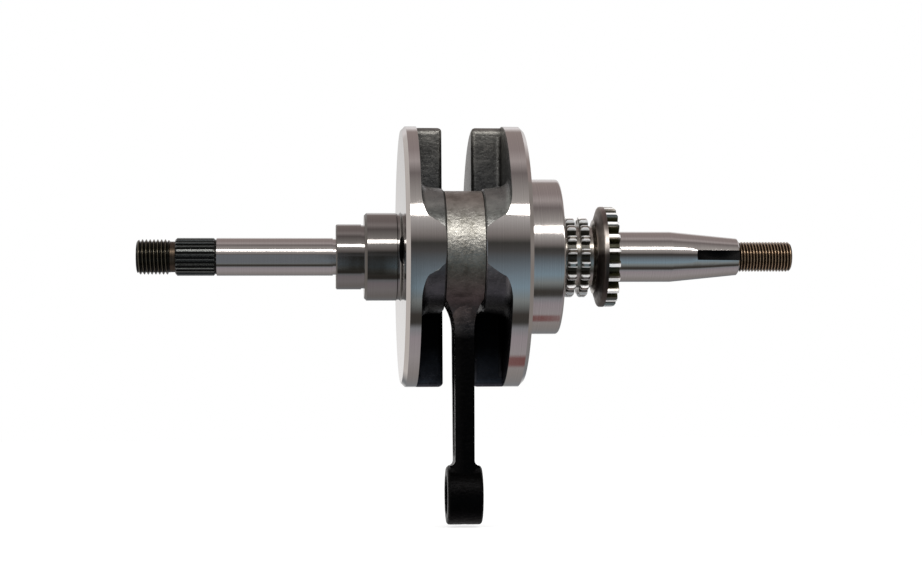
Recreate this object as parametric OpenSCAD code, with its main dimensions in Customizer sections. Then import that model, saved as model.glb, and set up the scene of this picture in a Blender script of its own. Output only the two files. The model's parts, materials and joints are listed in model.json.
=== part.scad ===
// Built-up crankshaft of a single-cylinder scooter engine, with its connecting rod, the
// caged rollers of the big end, the right main bearing and the two drives on its shaft.
// X is the crank's axis and points at the flywheel end, +Z is up, and the crankpin stands
// at the front, towards -Y, with the rod hanging down. Millimetres.
// The origin is on the crank's axis, in the middle of the right main bearing.

/* [Throw and crankpin] */
// Piston stroke, twice the crankpin's distance from the axis
stroke = 57.8; // [54:0.2:60]
// Diameter of the crankpin
crankpin_d = 30; // [26:0.5:31]
// Hole along the crankpin
crankpin_hole_d = 11; // [6:0.5:14]
// Oil hole across the crankpin
oil_hole_d = 3; // [1.5:0.5:5]

/* [Connecting rod] */
// Distance between the centres of the rod's two eyes
rod_centres = 94; // [92:0.5:120]
// Outer diameter of the big end
big_end_od = 45.8; // [45:0.2:48]
// Width of the big end
big_end_w = 14.4; // [13:0.1:16]
// Free play of the big end beside each web
big_end_play = 0.3; // [0.1:0.05:0.6]
// Thickness of the shank, seen edge on
shank_t = 7.4; // [6.4:0.1:10]
// Width of the shank below the big end
shank_top_w = 21; // [18:0.5:24]
// Width of the shank above the small end
shank_foot_w = 15.6; // [14:0.2:18]
// Thickness of the shank's middle wall
shank_web_t = 3.6; // [2:0.2:6]
// Width of the rails on both sides of that wall
shank_rail_w = 3.4; // [2:0.2:5]
// Outer diameter of the small end
small_end_od = 22.5; // [20:0.5:24]
// Width of the small end
small_end_w = 13.6; // [12:0.1:18]
// Rounding of the small end's edges
small_end_round = 1.2; // [0.5:0.1:2.4]
// Diameter of the wrist pin's bore
wrist_pin_d = 15; // [12:0.5:16]
// Oil hole in the foot of the small end
foot_oil_hole_d = 3.2; // [2:0.2:5]

/* [Big-end rollers] */
// Diameter of a roller
roller_d = 4; // [3:0.25:4.5]
// Length of a roller
roller_len = 10; // [7:0.5:11]
// Number of rollers
roller_count = 18; // [12:1:20]
// Gap that lets the rollers run
roller_gap = 0.02; // [0.01:0.01:0.05]
// Thickness of the roller cage
roller_cage_t = 2.6; // [1.6:0.1:2.8]

/* [Webs] */
// Diameter of the webs
web_d = 104; // [100:0.5:106]
// Thickness of the left web at the crankpin
left_web_t = 15.1; // [12:0.1:18]
// Thickness of the right web at the crankpin
right_web_t = 18.1; // [14:0.1:22]
// Thickness of the left web's disc
left_disc_t = 5.9; // [3:0.1:7]
// Thickness of the right web's disc
right_disc_t = 7.9; // [5:0.1:10]
// Steel around the crankpin
boss_wall = 8.6; // [7:0.1:10]
// Draft of the forged boss, in degrees
boss_draft = 8.5; // [0:0.5:10]
// Fillet between that boss and the disc
boss_fillet = 3.5; // [2:0.5:5]
// Room between a counterweight and the rod's shank
shank_room = 2.2; // [0.6:0.1:3]
// Room between a counterweight and the turning big end
big_end_room = 4; // [2:0.1:6]
// Rounding of a counterweight's inner edges
counterweight_edge = 2; // [1:0.5:4]
// Rounding where a counterweight's flat front meets the rim
counterweight_corner = 3; // [1:0.5:5]
// Chamfer around each web's outer face
rim_chamfer = 1.6; // [0.5:0.1:2.5]
// Wall left at the bottom of a crankpin's hole
pin_floor = 2; // [1.5:0.1:3]

/* [Left shaft] */
// Diameter of both main journals
journal_d = 35; // [32:0.5:40]
// Length of the left journal
left_journal_len = 14.6; // [12:0.1:20]
// Diameter of the oil seal's seat
seal_seat_d = 26; // [22:0.5:28]
// Length of the oil seal's seat
seal_seat_len = 11.2; // [8:0.1:16]
// Diameter of the drive shaft
drive_shaft_d = 15; // [15:0.5:18]
// Length of the drive shaft
drive_shaft_len = 47.5; // [30:0.5:70]
// Length of the spline
spline_len = 15.8; // [10:0.1:24]
// Number of spline teeth
spline_teeth = 24; // [16:1:28]
// Height of the spline's teeth
spline_depth = 0.75; // [0.4:0.05:1]
// Relief between the spline and the thread
left_relief_len = 2; // [1:0.1:4]
// Outer diameter of the left thread
left_thread_d = 14; // [10:0.5:14]
// Length of the left thread
left_thread_len = 13.3; // [10:0.1:20]

/* [Main bearing] */
// Outer diameter of the bearing
bearing_d = 62; // [60:0.5:72]
// Width of the bearing
bearing_w = 14; // [12:0.5:17]
// Diameter of a ball
ball_d = 7.94; // [6:0.02:8.4]
// Number of balls
ball_count = 11; // [8:1:12]
// Gap that lets the balls run
ball_gap = 0.02; // [0.01:0.01:0.04]
// Shoulder on the web that the bearing is pressed against
bearing_shoulder = 0.6; // [0.3:0.1:2]
// Diameter of that shoulder
bearing_shoulder_d = 41; // [41:0.5:43]
// Sheet thickness of the ball cage
ball_cage_t = 0.8; // [0.5:0.1:1]

/* [Timing sprocket] */
// Number of teeth
timing_teeth = 18; // [14:1:20]
// Diameter over the teeth
timing_od = 32.4; // [31:0.2:34]
// Height of the teeth
timing_tooth_h = 3; // [2:0.1:3.2]
// Angle that the teeth are turned up from the front
timing_turn = 3.1; // [0:0.1:19.9]
// Hub between the bearing and the first row of teeth
timing_hub_len = 2.9; // [1:0.1:4]
// Width of the first row of teeth
timing_row1_w = 3.6; // [3:0.1:6]
// Guide groove between the rows
timing_groove_w = 1.8; // [1:0.1:3]
// Width of the second row of teeth
timing_row2_w = 3.5; // [3:0.1:6]
// Neck after the second row
timing_neck_len = 2.7; // [2:0.1:6]
// Diameter of the neck
timing_neck_d = 24.6; // [24:0.2:26]
// Bore of the sprocket
timing_bore_d = 20.8; // [20.8:0.2:22.4]

/* [Pump drive gear] */
// Number of teeth
pump_teeth = 21; // [18:1:26]
// Diameter over the teeth
pump_od = 40.2; // [38:0.2:44]
// Angle that the teeth are turned down from the back
pump_turn = 6.1; // [0:0.1:17]
// Width of the teeth
pump_face_w = 4.7; // [4:0.1:8]
// Width of the plain rim in front of the teeth
pump_rim_w = 1.6; // [0.8:0.1:2]
// Length of the cone in front of that rim
pump_cone_len = 2.4; // [1:0.1:4]
// Diameter at the small end of that cone
pump_cone_d = 29.6; // [27:0.2:34]
// Bore of the gear
pump_bore_d = 20.6; // [20.4:0.2:20.8]

/* [Right shaft] */
// Diameter of the starter gear's seat
starter_seat_d = 20.2; // [18:0.2:20.4]
// Length of that seat
starter_seat_len = 22.6; // [15:0.1:40]
// Length of the flywheel taper
taper_len = 27.5; // [22:0.5:34]
// Length in which the taper's diameter falls by one
taper_ratio = 5; // [5:0.5:10]
// Width of the keyway
keyway_w = 4; // [3:0.5:5]
// Depth of the keyway at its deepest place
keyway_depth = 4; // [2.5:0.1:4.5]
// Diameter of the keyway's cutter
keyway_cutter_d = 26; // [22:0.5:32]
// Distance of that cutter's centre from the taper's small end
keyway_setback = 7.5; // [6:0.5:12]
// Outer diameter of the right thread
right_thread_d = 12; // [10:0.5:12]
// Length of the right thread
right_thread_len = 21.8; // [12:0.1:30]
// Centre hole in each end of the shaft
centre_hole_d = 4.5; // [3:0.5:6]

/* [Hidden] */
ROLLER_NAMES = [for (i = [1:roller_count]) str("big_end_roller_", i)];
BALL_NAMES = [for (i = [1:ball_count]) str("main_bearing_ball_", i)];
$fn = 96;

small_chamfer = 0.5;    // broken edges of turned pieces
sink = 1;               // how far a feature is carried into the one it stands on
blank_spare = 0.05;     // gear blanks stand this far outside the tips of their teeth
tooth_round = 1.2;      // rounding of the sprocket teeth's ends
teeth_sink = 0.5;       // how far the pump gear's teeth are carried into its rim
rim_round = 0.8;        // rounding of that rim's front edge
timing_flare_len = 1.1;

// Crank throw, all X lengths counted outwards from the rod's middle plane
throw = stroke / 2;
web_r = web_d / 2;
journal_r = journal_d / 2;
pin_r = crankpin_d / 2;
boss_r = pin_r + boss_wall;
boss_face = big_end_w / 2 + big_end_play;
weight_face = shank_t / 2 + shank_room;
weight_front = big_end_od / 2 + big_end_room - throw;
corner_reach = 0.2;      // the corner's rounding runs out this far beyond the rim
left_face = boss_face + left_web_t;
right_face = boss_face + right_web_t;
bearing_start = right_face + bearing_shoulder;
bearing_end = bearing_start + bearing_w;
mid_x = -(bearing_start + bearing_end) / 2;

// Left shaft
seal_start = left_face + left_journal_len;
drive_start = seal_start + seal_seat_len;
spline_start = drive_start + drive_shaft_len;
relief_start = spline_start + spline_len;
left_thread_start = relief_start + left_relief_len;
left_end = left_thread_start + left_thread_len;
journal_chamfer = 1;
root_fillet = 1;
root_groove_w = 1.9;
hole_countersink = 0.8;
end_round_left = 1.8;
undercut_w = 1.2;
undercut_depth = 0.35;
relief_depth = 0.9;

// Right shaft
timing_len = timing_hub_len + timing_row1_w + timing_groove_w + timing_row2_w + timing_neck_len;
pump_start = bearing_end + timing_len;
pump_len = pump_cone_len + pump_rim_w + pump_face_w;
starter_start = pump_start + pump_len;
taper_start = starter_start + starter_seat_len;
taper_end = taper_start + taper_len;
taper_end_r = starter_seat_d / 2 - taper_len / taper_ratio / 2;
right_end = taper_end + right_thread_len;
end_round_right = 1.5;
keyway_x = taper_end - keyway_setback;
keyway_surface_r = taper_end_r + keyway_setback / taper_ratio / 2;

// Big end
big_bore_r = pin_r + roller_d;
roller_r = roller_d / 2 - roller_gap;
roller_circle = pin_r + roller_d / 2;
roller_window_gap = 0.15;
roller_cage_gap = 0.2;
roller_cage_side_gap = 0.3;

// Main bearing
bearing_r = bearing_d / 2;
ball_circle = (bearing_r + journal_r) / 2;
ball_r = ball_d / 2;
groove_r = ball_r * 1.04;
groove_depth_r = ball_r + ball_gap;
race_shoulder = 0.6 * ball_r;
pocket_gap = 0.2;
pocket_r = ball_r + pocket_gap;
cage_reach = race_shoulder - 0.5;
hoop_inset = 0.1;
rivet_r = 0.6;
rivet_head_r = 1.1;
rivet_head_t = 0.45;

// Rod, lengths counted from the crankpin's centre
big_end_r = big_end_od / 2;
small_end_r = small_end_od / 2;
shoulder_start = 0.85 * big_end_r;
shoulder_end = 1.36 * big_end_r;
foot_fillet = 2;         // between the shank and the small end, seen edge on
foot_start = rod_centres - small_end_r - foot_fillet;
shank_end = rod_centres - sqrt(pow(small_end_r, 2) - pow(shank_foot_w / 2, 2)) + sink / 2;
shank_top_inset = 1.5;   // the shank's crown leaves its flanks this far inside its width
shank_foot_inset = 1.2;
rail_crown_top = 1.2;
rail_crown_foot = 0.8;
pocket_run = 1;          // the pockets end this far from the shoulder and the foot
big_end_neck_fillet = 12;
small_end_neck_fillet = 4;
fillet_bite = 0.05;      // the neck fillets cut this far into the eyes, so they meet at an angle

// ---- Helpers ----

// Places what is drawn outwards from the rod's middle plane
module at_middle() translate([mid_x, 0, 0]) children();

// Turned piece: outline points are [distance along X, radius]
module turned(outline)
    rotate([0, 90, 0]) rotate_extrude() polygon([for (p = outline) [p[1], p[0]]]);

// Turned piece of a drawing with radius across and X up
module spun() rotate([0, 90, 0]) rotate_extrude() children();

// Drawing in the YZ plane, carried along X from x
module along_x(x, len) translate([x, 0, 0]) rotate([90, 0, 90]) linear_extrude(len) children();

// Drawing in the XZ plane, carried along Y on both sides
module across_y(len) rotate([90, 0, 0]) linear_extrude(len, center = true) children();

// Points of an arc about c with radius r
function arc(c, r, from, to, steps = 8) =
    [for (i = [0:steps]) let (a = from + (to - from) * i / steps) c + r * [cos(a), sin(a)]];

// Points of a ring of teeth, each tooth given as [radius, angle from its middle]
function teeth(count, flank) =
    [for (i = [0:count - 1])
        for (p = concat(flank, [for (k = [len(flank) - 1:-1:0]) [flank[k][0], -flank[k][1]]]))
            let (a = i * 360 / count - p[1]) p[0] * [cos(a), sin(a)]];

// Angle swept by an involute between its base circle and radius r
function involute(r, base) = let (t = sqrt(max(0, r * r / base / base - 1))) t * 180 / PI - atan(t);

// ---- Crank halves ----

// Envelope that the lathe leaves around a web
module web_rim(face)
    turned(concat([[weight_face, 0]],
                  arc([weight_face + counterweight_edge, web_r - counterweight_edge],
                      counterweight_edge, 180, 90),
                  [[face - rim_chamfer, web_r], [face, web_r - rim_chamfer], [face, 0]]));

// Counterweight in plan: flat in front, with a rounded edge beside the rod
module counterweight_plan(disc_face) {
    edge = counterweight_edge;
    difference() {
        translate([weight_face, weight_front])
            square([disc_face - weight_face + sink, web_r - weight_front]);
        difference() {
            translate([weight_face - sink, weight_front - sink]) square(edge + sink);
            translate([weight_face + edge, weight_front + edge]) circle(edge);
        }
    }
}

// Height of the centre of the rounding at a counterweight's upper corner
corner_y = weight_front + counterweight_corner;
corner_z = sqrt(pow(web_r - counterweight_corner + corner_reach, 2) - corner_y * corner_y);

// Counterweight seen along the shaft, its front corners rounded and the rest left to the lathe
module counterweight_side() {
    r = counterweight_corner;
    upper = arc([corner_y, corner_z], r, 90, 180);
    polygon(concat([[web_d, corner_z + r]], upper,
                   [for (i = [len(upper) - 1:-1:0]) [upper[i][0], -upper[i][1]]],
                   [[web_d, -corner_z - r]]));
}

module counterweight(disc_face) {
    edge = counterweight_edge;
    intersection() {
        linear_extrude(web_d + 2 * sink, center = true) counterweight_plan(disc_face);
        along_x(0, disc_face + 2 * sink) counterweight_side();
    }
    // Fillet against the disc
    linear_extrude(2 * (corner_z - sink), center = true) difference() {
        translate([disc_face - edge, weight_front - edge]) square(edge + sink);
        translate([disc_face - edge, weight_front - edge]) circle(edge);
    }
}

// Radius of the drafted boss at distance x from the rod's middle plane
function drafted_boss_r(x) = boss_r + (x - boss_face) * tan(boss_draft);

// Boss around the crankpin, with its fillet against the disc
module crankpin_boss(disc_face) {
    foot_x = disc_face - boss_fillet;
    foot_r = drafted_boss_r(foot_x);
    translate([0, -throw, 0])
        turned(concat([[boss_face, 0], [boss_face, boss_r - small_chamfer],
                       [boss_face + small_chamfer, drafted_boss_r(boss_face + small_chamfer)]],
                      arc([foot_x, foot_r + boss_fillet], boss_fillet, -90, 0),
                      [[disc_face + sink, foot_r + boss_fillet], [disc_face + sink, 0]]));
}

// Bridge from the boss to the counterweight, with the boss's draft
module boss_bridge(disc_face) {
    half = boss_r - small_chamfer;
    foot = drafted_boss_r(disc_face + sink) - small_chamfer;
    len = throw + weight_front + 2 * sink;
    translate([0, len - throw, 0]) rotate([90, 0, 0]) linear_extrude(len)
        polygon([[boss_face, -half], [disc_face + sink, -foot], [disc_face + sink, foot], [boss_face, half]]);
}

// Web with its disc, counterweight, boss and the hole for the crankpin
module web(thickness, disc_t) {
    face = boss_face + thickness;
    disc_face = face - disc_t;
    difference() {
        intersection() {
            union() {
                translate([disc_face, 0, 0]) rotate([0, 90, 0]) cylinder(h = disc_t, r = web_r + sink);
                counterweight(disc_face);
                crankpin_boss(disc_face);
                boss_bridge(disc_face);
            }
            web_rim(face);
        }
        translate([boss_face - sink, -throw, 0]) rotate([0, 90, 0])
            cylinder(h = thickness - pin_floor + sink, r = pin_r);
    }
}

// Countersunk centre hole in a shaft's end
module centre_hole(x_end) {
    r = centre_hole_d / 2;
    pilot_r = 0.4 * r;
    cone_len = 1.1 * r;
    pilot_end = x_end - 2.7 * r;
    turned([[pilot_end - pilot_r, 0], [pilot_end, pilot_r], [x_end - cone_len, pilot_r],
            [x_end, r], [x_end + sink, r], [x_end + sink, 0]]);
}

// Spline teeth along the end of the left shaft
module spline() {
    r = drive_shaft_d / 2;
    half = 90 / spline_teeth;
    intersection() {
        along_x(spline_start, spline_len)
            polygon(teeth(spline_teeth, [[r - spline_depth, 1.45 * half], [r, 0.6 * half]]));
        turned([[spline_start, 0], [spline_start, r - spline_depth], [spline_start + spline_depth, r],
                [relief_start - spline_depth, r], [relief_start, r - spline_depth], [relief_start, 0]]);
    }
}

module left_shaft() {
    drive_r = drive_shaft_d / 2;
    seal_r = seal_seat_d / 2;
    thread_r = left_thread_d / 2;
    end_round = end_round_left;
    root_r = journal_r - undercut_depth;
    turned(concat(
        [[left_face - left_disc_t, 0], [left_face - left_disc_t, root_r + root_fillet]],
        arc([left_face + root_fillet, root_r + root_fillet], root_fillet, 180, 270),
        [[left_face + root_groove_w - undercut_depth, root_r], [left_face + root_groove_w, journal_r],
         [seal_start - journal_chamfer, journal_r], [seal_start, journal_r - journal_chamfer],
         [seal_start, seal_r - undercut_depth], [seal_start + undercut_w, seal_r - undercut_depth],
         [seal_start + undercut_w, seal_r], [drive_start - small_chamfer, seal_r],
         [drive_start, seal_r - small_chamfer],
         [drive_start, drive_r - undercut_depth], [drive_start + undercut_w, drive_r - undercut_depth],
         [drive_start + undercut_w, drive_r], [spline_start - small_chamfer, drive_r],
         [spline_start, drive_r - spline_depth], [relief_start, drive_r - spline_depth],
         [relief_start, thread_r - relief_depth], [left_thread_start, thread_r - relief_depth],
         [left_thread_start + small_chamfer, thread_r]],
        arc([left_end - end_round, thread_r - end_round], end_round, 90, 0),
        [[left_end, 0]]));
}

module left_crank_half()
    color("#a39d98") at_middle() mirror([1, 0, 0]) difference() {
        union() {
            web(left_web_t, left_disc_t);
            left_shaft();
            spline();
        }
        // The crankpin's hollow opens through the web, with a countersunk edge
        translate([0, -throw, 0]) turned([
            [left_face - 2 * pin_floor, 0], [left_face - 2 * pin_floor, crankpin_hole_d / 2],
            [left_face - hole_countersink, crankpin_hole_d / 2],
            [left_face + sink, crankpin_hole_d / 2 + hole_countersink + sink], [left_face + sink, 0]]);
        centre_hole(left_end);
    }

module right_shaft() {
    starter_r = starter_seat_d / 2;
    thread_r = right_thread_d / 2;
    end_round = end_round_right;
    turned(concat(
        [[right_face - right_disc_t, 0], [right_face - right_disc_t, bearing_shoulder_d / 2],
         [bearing_start, bearing_shoulder_d / 2], [bearing_start, journal_r],
         [bearing_end - small_chamfer, journal_r], [bearing_end, journal_r - small_chamfer],
         [bearing_end, timing_bore_d / 2], [pump_start, timing_bore_d / 2],
         [pump_start, pump_bore_d / 2], [starter_start, pump_bore_d / 2],
         [starter_start, starter_r], [taper_start, starter_r],
         [taper_end - small_chamfer, taper_end_r + small_chamfer / taper_ratio / 2],
         [taper_end, taper_end_r - small_chamfer],
         [taper_end, thread_r - relief_depth], [taper_end + sink, thread_r - relief_depth],
         [taper_end + sink + small_chamfer, thread_r]],
        arc([right_end - end_round, thread_r - end_round], end_round, 90, 0),
        [[right_end, 0]]));
}

// Keyway sunk into the front of the taper by a disc cutter
module keyway()
    translate([keyway_x, keyway_depth - keyway_surface_r - keyway_cutter_d / 2, 0])
        cylinder(h = keyway_w, d = keyway_cutter_d, center = true);

module right_crank_half()
    color("#a39d98") at_middle() difference() {
        union() {
            web(right_web_t, right_disc_t);
            right_shaft();
        }
        keyway();
        centre_hole(right_end);
    }

// ---- Crankpin and rod ----

module crankpin() {
    left = left_face - pin_floor;
    right = right_face - pin_floor;
    hole_r = crankpin_hole_d / 2;
    color("#b9b5b0") at_middle() translate([0, -throw, 0]) difference() {
        turned([[-left, hole_r], [-left, pin_r - small_chamfer], [small_chamfer - left, pin_r],
                [right - small_chamfer, pin_r], [right, pin_r - small_chamfer], [right, hole_r]]);
        cylinder(h = pin_r + sink, d = oil_hole_d);
    }
}

// Fillet between an eye of radius r at the origin and a flank at y = flank, below it
module eye_fillet(r, flank, f) {
    drop = sqrt(pow(r + f - fillet_bite, 2) - pow(flank + f, 2));
    for (side = [-1, 1]) scale([side, 1]) difference() {
        polygon([[0, 0], [flank + f, -drop], [0, -drop]]);
        translate([flank + f, -drop]) circle(f);
    }
}

// The rod as seen along the crankpin
module rod_face() {
    top = shank_top_w / 2 - shank_top_inset;
    foot = shank_foot_w / 2 - shank_foot_inset;
    circle(big_end_r);
    eye_fillet(big_end_r, top, big_end_neck_fillet);
    translate([0, -rod_centres]) mirror([0, 1]) eye_fillet(small_end_r, foot, small_end_neck_fillet);
    translate([0, -rod_centres]) circle(small_end_r - sink);
}

// Half thickness of the rod at distance z below the crankpin, around the big end's shoulder
function shoulder(z) =
    let (t = (z - shoulder_start) / (shoulder_end - shoulder_start))
        shank_t / 2 + (big_end_w - shank_t) / 2 * pow(1 - t, 2);

// The rod as seen edge on
module rod_edge() {
    half = concat(
        [[big_end_w / 2, big_end_r], [big_end_w / 2, -shoulder_start]],
        [for (i = [1:8]) let (z = shoulder_start + (shoulder_end - shoulder_start) * i / 8)
            [shoulder(z), -z]],
        arc([shank_t / 2 + foot_fillet, -foot_start], foot_fillet, 180, 270),
        [[shank_t / 2 + foot_fillet, sink - rod_centres]]);
    polygon(concat(half, [for (i = [len(half) - 1:-1:0]) [-half[i][0], half[i][1]]]));
}

// Shank with crowned rails
module shank() {
    intersection() {
        translate([0, 0, -shank_end])
            cylinder(h = shank_end - shoulder_start + sink, d1 = shank_foot_w, d2 = shank_top_w);
        across_y(shank_top_w + sink) rod_edge();
    }
}

// Pocket that leaves the middle wall of the I section
module shank_pocket() {
    top_r = shank_top_w / 2 - shank_rail_w - rail_crown_top;
    foot_r = shank_foot_w / 2 - shank_rail_w - rail_crown_foot;
    top_z = -shoulder_end - top_r - pocket_run;
    foot_z = foot_r + pocket_run - foot_start;
    along_x(shank_web_t / 2, shank_t) {
        translate([0, top_z]) circle(top_r);
        translate([0, foot_z]) circle(foot_r);
        polygon([[-top_r, top_z], [top_r, top_z], [foot_r, foot_z], [-foot_r, foot_z]]);
    }
}

module connecting_rod()
    color("#4a4b47") at_middle() translate([0, -throw, 0]) difference() {
        union() {
            intersection() {
                along_x(-big_end_w, 2 * big_end_w) rod_face();
                across_y(big_end_od + sink) rod_edge();
            }
            shank();
            translate([0, 0, -rod_centres]) turned(concat(
                [[-small_end_w / 2, 0]],
                arc([small_end_round - small_end_w / 2, small_end_r - small_end_round],
                    small_end_round, 180, 90, 5),
                arc([small_end_w / 2 - small_end_round, small_end_r - small_end_round],
                    small_end_round, 90, 0, 5),
                [[small_end_w / 2, 0]]));
        }
        translate([-big_end_w, 0, 0]) rotate([0, 90, 0]) cylinder(h = 2 * big_end_w, r = big_bore_r);
        translate([-small_end_w, 0, -rod_centres]) rotate([0, 90, 0])
            cylinder(h = 2 * small_end_w, d = wrist_pin_d);
        shank_pocket();
        mirror([1, 0, 0]) shank_pocket();
        translate([0, 0, -rod_centres - small_end_od]) cylinder(h = small_end_od, d = foot_oil_hole_d);
    }

// Spreads copies evenly about the X axis
module around_x(count) for (i = [0:count - 1]) rotate([i * 360 / count, 0, 0]) children();

module big_end_cage() {
    half = big_end_w / 2 - roller_cage_side_gap;
    outer_r = big_bore_r - roller_cage_gap;
    window = roller_d + 2 * roller_window_gap;
    color("#c2b8a0") at_middle() translate([0, -throw, 0]) difference() {
        turned([[-half, outer_r - roller_cage_t], [-half, outer_r], [half, outer_r],
                [half, outer_r - roller_cage_t]]);
        around_x(roller_count) translate([-roller_len / 2 - roller_window_gap, -window / 2, 0])
            cube([roller_len + 2 * roller_window_gap, window, outer_r + sink]);
    }
}

module big_end_roller(i)
    color("#cfcbc6") at_middle() translate([0, -throw, 0])
        rotate([(i - 1) * 360 / roller_count, 0, 0]) translate([-roller_len / 2, 0, roller_circle])
            rotate([0, 90, 0]) cylinder(h = roller_len, r = roller_r);

// ---- Main bearing, drawn about the origin ----

// Half section of a race, from radius r1 to r2, with rounded corners on the side away from the balls
module race_section(r1, r2, round_outer) {
    edge = 1;
    h = bearing_w / 2;
    difference() {
        translate([r1, -h]) square([r2 - r1, bearing_w]);
        for (side = [-1, 1]) {
            x = round_outer ? r2 - edge : r1 + edge;
            difference() {
                translate([round_outer ? x : x - edge - sink, side > 0 ? h - edge : -h - sink])
                    square(edge + sink);
                translate([x, side * (h - edge)]) circle(edge);
            }
        }
    }
}

module main_bearing_outer_race()
    color("#a9a29d") spun() difference() {
        race_section(ball_circle + race_shoulder, bearing_r, true);
        translate([ball_circle + groove_depth_r - groove_r, 0]) circle(groove_r);
    }

module main_bearing_inner_race()
    color("#a9a29d") spun() difference() {
        race_section(journal_r, ball_circle - race_shoulder, false);
        translate([ball_circle - groove_depth_r + groove_r, 0]) circle(groove_r);
    }

module main_bearing_ball(i)
    color("#d5d3d0") rotate([(i - 1) * 360 / ball_count, 0, 0]) translate([0, 0, ball_circle])
        sphere(ball_r);

// Places that lie halfway between two balls
module between_balls()
    rotate([180 / ball_count, 0, 0]) around_x(ball_count) translate([0, 0, ball_circle]) children();

// Round pocket for a ball, along the bearing's radius
module ball_pocket() translate([0, 0, journal_r]) cylinder(h = bearing_r - journal_r, r = pocket_r);

// Flat-ended hoop around a pocket, its corners just inside the cage's edge
module pocket_hoop() {
    hoop_r = pocket_r + ball_cage_t;
    foot = ball_circle - cage_reach + hoop_inset;
    head = sqrt(pow(ball_circle + cage_reach - hoop_inset, 2) - hoop_r * hoop_r);
    translate([0, 0, foot]) linear_extrude(head - foot) intersection() {
        circle(hoop_r);
        translate([0, -hoop_r]) square([hoop_r, 2 * hoop_r]);
    }
}

// One pressed half of the cage, bulged around each ball
module ball_cage_half()
    difference() {
        union() {
            turned([[0, ball_circle - cage_reach], [0, ball_circle + cage_reach],
                    [ball_cage_t, ball_circle + cage_reach],
                    [ball_cage_t, ball_circle - cage_reach]]);
            around_x(ball_count) pocket_hoop();
        }
        around_x(ball_count) ball_pocket();
        between_balls() rotate([0, 90, 0]) cylinder(h = 3 * ball_cage_t, r = rivet_r, center = true);
    }

module main_bearing_cage_right() color("#b39a62") ball_cage_half();

module main_bearing_cage_left() color("#b39a62") mirror([1, 0, 0]) ball_cage_half();

module main_bearing_cage_rivets()
    color("#8d8a86") between_balls() turned([
        [-ball_cage_t - rivet_head_t, 0], [-ball_cage_t - rivet_head_t, rivet_head_r],
        [-ball_cage_t, rivet_head_r], [-ball_cage_t, rivet_r], [ball_cage_t, rivet_r],
        [ball_cage_t, rivet_head_r], [ball_cage_t + rivet_head_t, rivet_head_r],
        [ball_cage_t + rivet_head_t, 0]]);

// ---- Drives on the right shaft ----

// A row of sprocket teeth with rounded ends, from x
module sprocket_row(x, w) {
    tip = timing_od / 2;
    root = tip - timing_tooth_h;
    blank_r = tip + blank_spare;
    pitch = 360 / timing_teeth;
    intersection() {
        rotate([-timing_turn, 0, 0]) along_x(x, w)
            polygon(teeth(timing_teeth, [[root, 0.36 * pitch], [tip - 0.6 * timing_tooth_h, 0.25 * pitch],
                                         [tip - 0.2 * timing_tooth_h, 0.19 * pitch], [tip, 0.14 * pitch]]));
        turned(concat([[x, 0]],
                      arc([x + tooth_round, blank_r - tooth_round], tooth_round, 180, 90, 4),
                      arc([x + w - tooth_round, blank_r - tooth_round], tooth_round, 90, 0, 4),
                      [[x + w, 0]]));
    }
}

module timing_sprocket() {
    bore_r = timing_bore_d / 2;
    neck_r = timing_neck_d / 2;
    row1 = bearing_end + timing_hub_len;
    row2 = row1 + timing_row1_w + timing_groove_w;
    neck = row2 + timing_row2_w;
    flare = pump_cone_d / 2 - neck_r;
    flare_len = timing_flare_len;
    color("#8f8a84") at_middle() difference() {
        union() {
            turned(concat([[bearing_end, 0], [bearing_end, neck_r - small_chamfer],
                           [bearing_end + small_chamfer, neck_r], [pump_start - flare_len, neck_r]],
                          [for (i = [1:6]) [pump_start - flare_len * (1 - i / 6),
                                            neck_r + flare * pow(i / 6, 1.6)]],
                          [[pump_start, 0]]));
            sprocket_row(row1, timing_row1_w);
            sprocket_row(row2, timing_row2_w);
        }
        translate([bearing_end - sink, 0, 0]) rotate([0, 90, 0]) cylinder(h = timing_len + 2 * sink, r = bore_r);
    }
}

// Involute tooth of the pump gear, from root to tip, as [radius, angle from its middle]
function pump_flank() =
    let (size = pump_od / (pump_teeth + 2), pitch_r = size * pump_teeth / 2, base = pitch_r * cos(20),
         tip = pump_od / 2, root = pitch_r - 1.25 * size,
         half = 90 / pump_teeth + involute(pitch_r, base), low = max(base, root))
        concat([[root, half]], [for (i = [0:4]) let (r = low + (tip - low) * i / 4)
                                   [r, half - involute(r, base)]]);

module pump_drive_gear() {
    blank_r = pump_od / 2 + blank_spare;
    cone_r = pump_cone_d / 2;
    rim_start = pump_start + pump_cone_len;
    teeth_start = rim_start + pump_rim_w;
    end_chamfer = 0.8;
    color("#8f8a84") at_middle() difference() {
        union() {
            // Dished plate with a plain rim
            turned(concat([[pump_start, 0], [pump_start, cone_r - small_chamfer],
                           [pump_start + small_chamfer, cone_r]],
                          arc([rim_start + rim_round / 2, blank_r - rim_round], rim_round, 155, 90, 4),
                          [[teeth_start, blank_r], [teeth_start, 0]]));
            intersection() {
                rotate([pump_turn, 0, 0]) along_x(teeth_start - teeth_sink, pump_face_w + teeth_sink)
                    polygon(teeth(pump_teeth, pump_flank()));
                turned([[teeth_start - sink, 0], [teeth_start - sink, blank_r],
                        [starter_start - end_chamfer, blank_r], [starter_start, blank_r - end_chamfer],
                        [starter_start, 0]]);
            }
        }
        translate([pump_start - sink, 0, 0]) rotate([0, 90, 0])
            cylinder(h = pump_len + 2 * sink, d = pump_bore_d);
    }
}

// ---- Nodes ----

left_crank_half();
right_crank_half();
crankpin();
connecting_rod();
big_end_cage();
for (i = [1:roller_count]) big_end_roller(i);
main_bearing_inner_race();
main_bearing_outer_race();
for (i = [1:ball_count]) main_bearing_ball(i);
main_bearing_cage_left();
main_bearing_cage_right();
main_bearing_cage_rivets();
timing_sprocket();
pump_drive_gear();
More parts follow.
